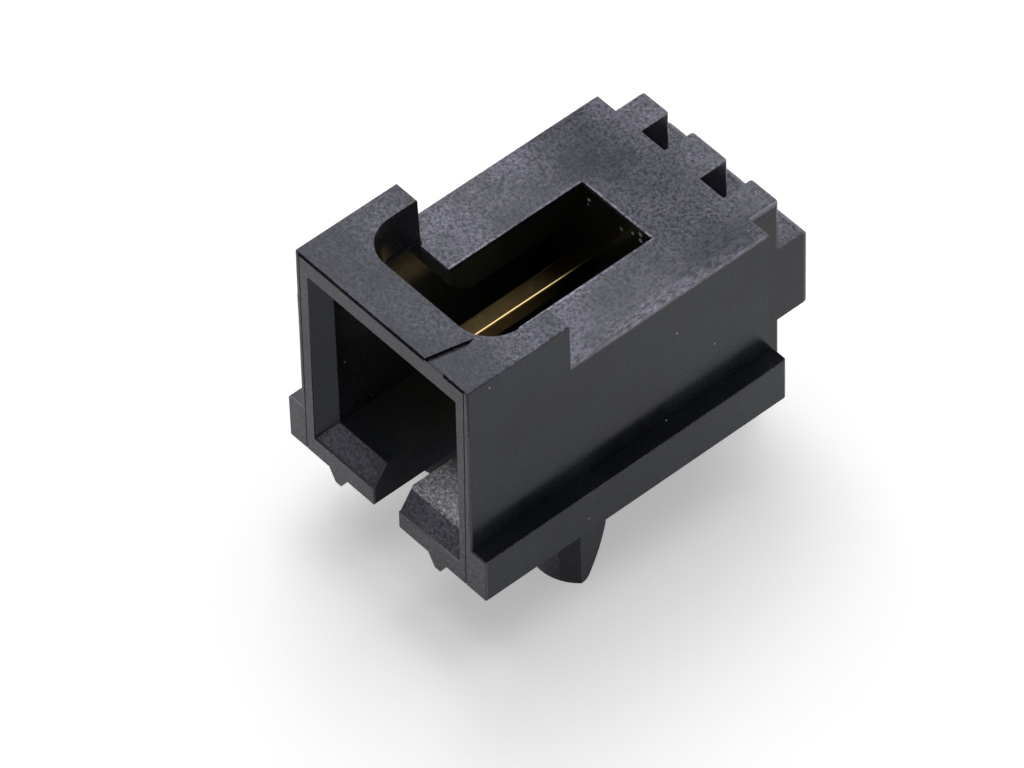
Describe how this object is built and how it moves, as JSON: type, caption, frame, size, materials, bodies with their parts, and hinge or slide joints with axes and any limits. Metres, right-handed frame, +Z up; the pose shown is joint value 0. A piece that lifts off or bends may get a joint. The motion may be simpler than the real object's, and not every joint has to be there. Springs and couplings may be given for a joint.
{
  "type": "pin header",
  "caption": "Right-angle shrouded wire-to-board pin header with a latch bridge, side flanges, keying slot, board pegs and bent square pins.",
  "frame": {"origin": "on the board plane under the stand-off rails, midway between the two pin tails", "axes": "+X along the pin row, to the right as seen by the plug that comes in; +Y from the mouth to the rear, the way the plug goes in; +Z up from the board"},
  "size_m": [0.0088, 0.0138, 0.0117],
  "materials": {
    "black_plastic": "glass-filled moulding, satin with a fine mottled grain",
    "pin_plating": "plated, smooth"
  },
  "bodies": {
    "root": {"housing": "black_plastic", "left_pin": "pin_plating", "right_pin": "pin_plating"}
  },
  "joints": []
}
